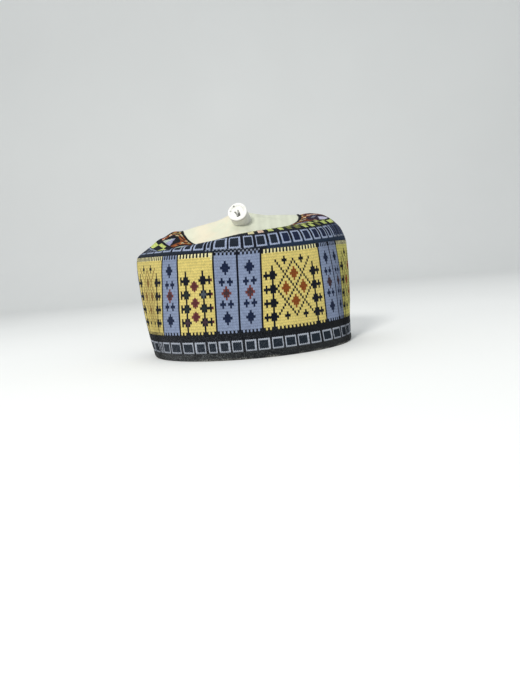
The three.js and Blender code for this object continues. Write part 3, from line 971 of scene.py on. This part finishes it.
def knob_face(across, up):
    """Depth and tone of the knob's face: a rounded lip, a shallow dish with a spiral step of the rolled
    cloth, a hollow where folds meet under the middle, and a small round hole and a nick near the lip. The
    tone is painted shade: it darkens in the holes and along the step inside the lip, and a little along the
    spiral and across the dish."""
    radius = np.hypot(across, up) / KNOB_RADIUS
    lip = 0.55 * ease(radius, 0.84, 1.0)
    dish = 1.0 - ease(radius, 0.62, 0.8)
    spiral = np.abs(((radius * 5.0 - np.arctan2(up, across) / TURN) % 1) - 0.5) * (radius < 0.8)
    hollow = 0.28 * (1 - ease(np.hypot((across - 0.3) * 1.1, up + 1.7), 1.0, 2.4))
    for strength, start, end, width in KNOB_FOLDS:
        hollow = np.maximum(hollow, strength * strand(across, up, start, end, width))
    nick = 0.5 * strand(across, up, (-7.4, 1.1), (-6.2, 1.3), 0.7)
    dot = np.maximum(1 - ease(np.hypot(across + 3.6, up - 6.2), 0.3, 1.15), nick)
    step = bell(radius, 0.82, 0.04) * ease(across + up * 0.6, -4, 5)
    depth = lip + dish + 0.2 * spiral + 2.8 * hollow + 0.9 * dot + 0.15 * step
    # Painted shade of the holes, the hollow and its folds, the step, the spiral and the dish.
    tone = 1 - 0.8 * hollow - 0.72 * dot - 0.16 * step - 0.08 * spiral - 0.03 * dish
    return depth, tone


def make_knob(finish):
    """Knob: a short roll that leans out of the cloth, its side waisted by a squared cosine, with three
    waves and the raised end of the wrapped cloth round it, then a rounded lip and the shaped face. The
    section runs from the root inside the cloth to the middle of the face."""
    axis, across, up, seat = knob_axes()
    around = 168
    turn = np.linspace(0, TURN, around, endpoint=False)
    lip = KNOB_LENGTH - KNOB_LIP
    along = np.concatenate([np.linspace(-KNOB_ROOT, lip, 26), KNOB_LENGTH - np.array([1.3, 0.8, 0.45])])
    radius = KNOB_RADIUS - 0.45 * np.cos((along - 9) / 9 * 1.2) ** 2 * (along < lip)
    radius = radius - np.clip((along - (KNOB_LENGTH - 1.3)) / 1.3, 0, 1) ** 2 * 0.5
    wave = 0.12 * np.sin(3 * turn + 0.4)[None, :] * np.cos(along / 6)[:, None]
    wrap_end = np.clip(1 - np.abs(((turn - 2.2) % TURN) / 0.25), 0, 1)
    wrap = 0.3 * wrap_end[None, :] * (along < KNOB_LENGTH - 1)[:, None]
    spoke = np.cos(turn)[None, :, None] * across + np.sin(turn)[None, :, None] * up
    side = (radius[:, None] + wave + wrap)[..., None] * spoke + along[:, None, None] * axis
    face_radius = np.linspace(KNOB_RADIUS - 0.75, 0.15, 60)
    depth, tone = knob_face(face_radius[:, None] * np.cos(turn), face_radius[:, None] * np.sin(turn))
    face = face_radius[:, None, None] * spoke + (KNOB_LENGTH - depth)[..., None] * axis
    middle_depth, middle_shade_tone = knob_face(np.zeros(1), np.zeros(1))
    ends = np.array([axis * (KNOB_LENGTH - middle_depth[0]), -axis * KNOB_ROOT])
    points = np.concatenate([side.reshape(-1, 3), face.reshape(-1, 3), ends]) + seat
    faces = capped_faces(len(along) + len(face_radius), around)
    # Painted shade in the mesh's colour: the side darkens towards its right, away from the light, and towards
    # the root, with a dark ring of painted shade just behind the lip. The face carries the painted shade of
    # its hollows.
    right = 0.5 + 0.5 * np.cos(turn - 0.35)[None, :]
    edge = bell(along, KNOB_LENGTH - 1.6, 0.6)[:, None]
    shade = 0.97 - 0.2 * right * ease(along, KNOB_LENGTH, 4)[:, None] - 0.36 * edge
    painted_shade_tones = np.concatenate([shade.ravel(), tone.ravel(), middle_shade_tone, [1.0]])
    corners = np.concatenate([group.ravel() for group in faces])
    colours = np.repeat(painted_shade_tones[corners, None], 3, axis=1)
    return piece("rolled_knob", points, faces, finish, "top_knob", colours=colours)


# Finishes
class Term:
    """A shader socket that can be used in Python expressions. Each operator adds its Math node."""

    def __init__(self, finish, socket):
        """A term of a finish, with the socket that gives its value."""
        self.finish, self.socket = finish, socket

    def sine(self):
        """The sine of the value, in radians."""
        return self.finish.math("SINE", self)

    def floor(self):
        """The largest whole number up to the value."""
        return self.finish.math("FLOOR", self)

    def held(self):
        """The value kept between 0 and 1."""
        return self.finish.math("MINIMUM", self.finish.math("MAXIMUM", self, 0.0), 1.0)


def add_operator(name, operation):
    """Gives Term one of Python's operators and its reflected form, so that 1 - term works too."""
    setattr(Term, f"__{name}__", lambda self, other: self.finish.math(operation, self, other))
    setattr(Term, f"__r{name}__", lambda self, other: self.finish.math(operation, other, self))


for name, operation in (("add", "ADD"), ("sub", "SUBTRACT"), ("mul", "MULTIPLY"), ("truediv", "DIVIDE"),
                        ("pow", "POWER"), ("mod", "FLOORED_MODULO")):
    add_operator(name, operation)


class Finish:
    """A material whose nodes are added by expressions on its values and by one method."""

    def __init__(self, name, **constants):
        """A new material, and the shader's sockets that stay constant, with _ for a space in their names."""
        self.material = bpy.data.materials.new(name)
        self.material.use_nodes = True
        self.tree = self.material.node_tree
        self.shader = next(node for node in self.tree.nodes if node.type == "BSDF_PRINCIPLED")
        for socket, value in constants.items():
            self.shader.inputs[socket.replace("_", " ")].default_value = value

    def put(self, socket, value):
        """Links a term to a socket, or sets the socket to a number."""
        if isinstance(value, Term):
            self.tree.links.new(value.socket, socket)
        else:
            socket.default_value = value

    def node(self, kind, settings=None, sockets=None, out=0):
        """A node of a kind: its settings first, then its sockets' values or links. Returns its output
        `out`."""
        made = self.tree.nodes.new(kind)
        for name, value in (settings or {}).items():
            setattr(made, name, value)
        for name, value in (sockets or {}).items():
            self.put(made.inputs[name], value)
        return Term(self, made.outputs[out])

    def math(self, operation, *terms):
        """A Math node on one or two terms or numbers."""
        return self.node("ShaderNodeMath", {"operation": operation}, dict(enumerate(terms)))

    def blend(self, low, high, factor, kind="MIX"):
        """A colour between two, through a colour Mix node. A colour is a term or an eight-bit display
        colour."""
        low, high = (end if isinstance(end, Term) else (*linear(end), 1.0) for end in (low, high))
        settings = {"data_type": "RGBA", "blend_type": kind}
        # Inputs 6 and 7 and output 2 are the node's sockets for colours
        return self.node("ShaderNodeMix", settings, {0: factor, 6: low, 7: high}, out=2)

    def toned(self, colour, tone):
        """A colour multiplied by a value."""
        grey = self.node("ShaderNodeCombineColor", sockets={"Red": tone, "Green": tone, "Blue": tone})
        return self.blend(colour, grey, 1.0, "MULTIPLY")

    def noise(self, place, scale, detail=2.0, rough=0.5, distortion=0.0):
        """Noise from 0 to 1 at a place."""
        sockets = {"Vector": place, "Scale": scale, "Detail": detail, "Roughness": rough}
        sockets["Distortion"] = distortion
        return self.node("ShaderNodeTexNoise", {"noise_dimensions": "3D"}, sockets)

    def place(self):
        """The place on the piece, in metres."""
        return self.node("ShaderNodeTexCoord", out="Object")

    def part(self, vector, index):
        """One of a vector's three numbers."""
        return self.node("ShaderNodeSeparateXYZ", sockets={"Vector": vector}, out=index)

    def stitch(self):
        """The piece's own stitch coordinates: wales round it and rows along it."""
        uv = self.node("ShaderNodeUVMap", {"uv_map": "stitch"})
        return self.part(uv, 0), self.part(uv, 1)

    def painted(self):
        """The colour that the piece's own mesh holds."""
        return self.node("ShaderNodeAttribute", {"attribute_name": "yarn"})

    def done(self, colour, roughness, height=None, depth=0.001, strength=1.0):
        """The material, with its colour and roughness, and a bump where it has a height."""
        self.put(self.shader.inputs["Base Color"], colour)
        self.put(self.shader.inputs["Roughness"], roughness)
        if height is not None:
            sockets = {"Height": height, "Distance": depth, "Strength": strength}
            self.put(self.shader.inputs["Normal"], self.node("ShaderNodeBump", sockets=sockets))
        return self.material


def towards_front(finish, place):
    """0 at the cap's back, rising evenly from 3 cm behind its middle to 1 at 7 cm in front of it."""
    start, length = -0.03, 0.1
    return ((finish.part(place, 0) - start) / length).held()


def knit_relief(u, v):
    """Height of knit stitches: each wale has two legs, rounded across, that narrow where one row meets the
    next."""
    across = ((u * 2) % 1.0 * math.pi).sine()
    along = (v % 1.0 * math.pi).sine()
    return across * (along * 0.45 + 0.55)


def patterned_knit(name, wear):
    """Knitted yarns: the chart's colour, changed from stitch to stitch and by slow patches, with painted
    shade between the legs of the stitches and where one row meets the next, darker in every other row, and
    paler where the fibres stand up, most of all at the worn foot of the wall; the fibres thin out towards the
    front, painted shade of the front end."""
    finish = Finish(name, Sheen_Weight=0.03, Sheen_Roughness=0.5, Specular_IOR_Level=0.1)
    place = finish.place()
    u, v = finish.stitch()
    relief = knit_relief(u, v)
    cell = finish.node("ShaderNodeCombineXYZ", sockets={"X": (u * 2).floor(), "Y": v.floor(), "Z": 0.0})
    single = finish.node("ShaderNodeTexWhiteNoise", {"noise_dimensions": "3D"}, {"Vector": cell})
    patch = finish.noise(place, 26.0, 3.0)
    fibre = finish.noise(place, 1500.0, 2.0, 0.6)
    ridge = (v * (math.pi / 2)).sine() ** 2.0
    # Painted shade: the stitches' relief darkens the colour between the legs and where the rows meet.
    tone = relief * 0.46 + ridge * 0.2 + single * 0.2 + patch * 0.22 + fibre * 0.22 + 0.28
    # Worn fibres at the wall's foot, thinned towards the front as painted shade of the front end, which lies
    # away from the light.
    foot_wear_and_shade = (1.6 - finish.part(place, 2) / 0.02).held() * (1.0 - towards_front(finish, place) * 0.85) * wear
    fuzz = ((fibre - 0.5) * 5.0).held() * (foot_wear_and_shade + 0.04)
    loose_fibre = (150, 154, 166)
    colour = finish.blend(finish.toned(finish.painted(), tone), loose_fibre, fuzz)
    return finish.done(colour, fibre * 0.15 + 0.8, relief + fibre * 0.5, 0.0006, 0.9)


def charcoal_knit():
    """Hem: charcoal knit flecked with grey, the flecks thinned towards the front as painted shade, with
    painted shade between the legs of the stitches, and rubbed paler here and there along its lower edge."""
    charcoal, grey, rubbed = (13, 16, 20), (118, 123, 124), (176, 174, 164)
    finish = Finish("charcoal_knit", Sheen_Weight=0.08, Sheen_Roughness=0.6, Specular_IOR_Level=0.12)
    place = finish.place()
    u, v = finish.stitch()
    relief = knit_relief(u, v)
    fleck = finish.noise(place, 1100.0, 3.0, 0.65)
    patch = finish.noise(place, 60.0, 3.0)
    # Painted shade: fewer grey flecks towards the front, which lies in shade.
    back = 1.0 - towards_front(finish, place) * 0.75
    yarn = finish.blend(charcoal, grey, ((fleck - 0.5) * 5.0).held() * back)
    edge = (1.0 - finish.part(place, 2) / 0.0026).held()
    worn = edge * ((patch - 0.4) * 6.0).held() * ((fleck - 0.42) * 6.0).held()
    # The relief darkens the yarn as painted shade between the legs and rows; the rubbed colour is real wear.
    colour = finish.blend(finish.toned(yarn, relief * 0.6 + 0.55), rubbed, worn * 0.8)
    return finish.done(colour, fleck * 0.15 + 0.82, relief + fleck * 0.8, 0.0006, 0.9)


def black_binding():
    """Binding: black yarn with fine fibres along each slanted turn."""
    finish = Finish("black_binding", Sheen_Weight=0.04, Sheen_Roughness=0.5, Specular_IOR_Level=0.2)
    place = finish.place()
    u, v = finish.stitch()
    fibre = finish.noise(place, 1600.0, 3.0, 0.6)
    turn = ((u + v) % 1.0 * math.pi).sine()
    colour = finish.blend((5, 5, 8), (34, 34, 42), turn * fibre)
    return finish.done(colour, fibre * 0.2 + 0.72, turn + fibre * 0.4, 0.0004, 0.7)


def ivory_cloth():
    """Ivory cotton: a plain weave whose threads repeat every 0.9 mm, warm patches behind the knob, a cooler
    ground in front with soft streaks of painted fold shade across it, and faint creases whose painted shade
    darkens the colour as well as the bump."""
    ivory, cool, warm = (206, 207, 186), (195, 198, 180), (230, 206, 180)
    thread = 0.0009
    finish = Finish("ivory_cloth", Sheen_Weight=0.08, Sheen_Roughness=0.5, Specular_IOR_Level=0.15)
    place = finish.place()
    x, y = finish.part(place, 0), finish.part(place, 1)
    weave = (x * (TURN / thread)).sine() * (y * (TURN / thread)).sine()
    patch = finish.noise(place, 34.0, 3.0)
    crease = finish.noise(place, 90.0, 4.0, 0.6, 0.8)
    front = ((x + 0.012) / 0.03).held()
    # Painted shade: soft vertical streaks of the folds in front.
    streak_shade = ((x * 520.0).sine() + (x * 1130.0 + 1.0).sine() * 0.6) * front
    warmth = ((patch - 0.46) * 3.0).held() * (1.0 - front) * ((x + 0.052) / 0.02).held()
    colour = finish.blend(finish.blend(ivory, cool, front), warm, warmth * 0.75)
    # The creases darken the colour in their hollows, painted shade that follows their bump.
    tone = crease * 0.16 + weave * 0.03 + patch * 0.12 + streak_shade * 0.035 + 0.86
    colour = finish.toned(colour, tone)
    return finish.done(colour, patch * 0.1 + 0.82, weave * 0.1 + crease * 1.2, 0.0009, 0.5)


def white_cloth():
    """White rolled cloth: fine weave, soft wrinkles, and the painted shade that its mesh holds: in the holes
    and hollows of its face, behind its lip and on its side away from the light.
    """
    finish = Finish("white_cloth", Sheen_Weight=0.05, Sheen_Roughness=0.5, Specular_IOR_Level=0.2)
    place = finish.place()
    crease = finish.noise(place, 160.0, 4.0, 0.6)
    weave = finish.noise(place, 1400.0, 2.0, 0.5)
    cotton = finish.blend((236, 236, 230), (212, 211, 200), ((crease - 0.5) * 3.0).held())
    # The mesh's colour is painted shade: the knob's face hollows, the ring behind its lip and its side away
    # from the light.
    colour = finish.blend(cotton, finish.painted(), 1.0, "MULTIPLY")
    return finish.done(colour, weave * 0.15 + 0.6, crease + weave * 0.15, 0.0006, 0.4)


wall = make_wall(patterned_knit("patterned_knit", 0.33))
shoulder = make_ring(patterned_knit("crown_knit", 0.0))
hem = make_hem(charcoal_knit())
binding = make_binding(black_binding())
cloth = make_cloth(ivory_cloth())
make_knob(white_cloth())


# Stage, light and camera
def sweep():
    """Floor that turns up into a backdrop: a straight line, a quarter circle and a straight line, drawn out
    sideways. In metres."""
    near_edge, depth, bend, reach_x, height = -2.5, 1.5, 0.7, 3.0, 2.6
    turn = np.linspace(0, math.pi / 2, 25)
    y = np.concatenate([[near_edge], depth + bend * np.sin(turn), [depth + bend]])
    z = np.concatenate([[0.0], bend - bend * np.cos(turn), [height]])
    x = np.linspace(-reach_x, reach_x, 9)
    grid = np.stack(np.broadcast_arrays(x[None, :], y[:, None], z[:, None]), -1)
    rows, columns = grid.shape[:2]
    row, at = np.mgrid[0:rows - 1, 0:columns - 1]
    here = row * columns + at
    faces = np.stack([here, here + 1, here + columns + 1, here + columns], -1).reshape(-1, 4)
    finish = Finish("pale_floor", Specular_IOR_Level=0.2)
    speck = finish.noise(finish.place(), 3.0)
    pale = finish.blend((234, 235, 233), (239, 240, 238), speck)
    mesh_object("floor", grid.reshape(-1, 3), faces.tolist(), finish.done(pale, 0.85))


def light(name, place, target, size, power, colour):
    """A round area light at a place, turned towards its target."""
    lamp = bpy.data.lights.new(name, "AREA")
    lamp.shape = "DISK"
    lamp.size, lamp.energy, lamp.color = size, power, colour
    holder = bpy.data.objects.new(name, lamp)
    bpy.context.scene.collection.objects.link(holder)
    holder.location = place
    holder.rotation_mode = "QUATERNION"
    holder.rotation_quaternion = (Vector(target) - Vector(place)).to_track_quat("-Z", "Y")


sweep()
light("key", (-0.65, -1.6, 1.15), (0, 0, 0.07), 0.45, 27.0, (1.0, 0.985, 0.96))
light("fill", (1.2, -1.5, 0.6), (0, 0, 0.07), 1.2, 2.0, (0.75, 0.93, 1.0))
light("top", (-0.2, 0.2, 1.6), (0, 0, 0.1), 1.2, 6.0, (1.0, 1.0, 1.0))
world = bpy.data.worlds.new("studio")
bpy.context.scene.world = world
world.use_nodes = True
sky = world.node_tree.nodes["Background"]
sky.inputs["Color"].default_value = (0.9, 0.93, 0.96, 1)
sky.inputs["Strength"].default_value = 0.6
bpy.context.scene.view_settings.view_transform = "Standard"

# The photo's camera, as fitted to the cap: its place in the cap's millimetres, its pitch and roll, and its
# focal length and the picture's height in pixels. The sensor is as tall as the picture.
EYE = np.array([6.72, -545.47, 76.85])
PITCH, ROLL = math.radians(8.15), math.radians(5.06)
FOCAL_PIXELS, PICTURE_HEIGHT = 523, 693
SENSOR = 36.0
ahead = np.array([0, math.cos(PITCH), -math.sin(PITCH)])
level = np.array([1.0, 0, 0])
down = np.cross(ahead, level)
right = math.cos(ROLL) * level + math.sin(ROLL) * down
up = math.sin(ROLL) * level - math.cos(ROLL) * down
lens = bpy.data.cameras.new("camera")
lens.sensor_fit = "AUTO"
lens.sensor_width = SENSOR
lens.lens = FOCAL_PIXELS / PICTURE_HEIGHT * SENSOR
lens.clip_start = 0.01
eye = bpy.data.objects.new("camera", lens)
bpy.context.scene.collection.objects.link(eye)
eye.matrix_world = Matrix([*np.stack([right, up, -ahead, to_frame(EYE)], -1).tolist(), [0, 0, 0, 1]])
bpy.context.scene.camera = eye

bpy.context.view_layer.update()
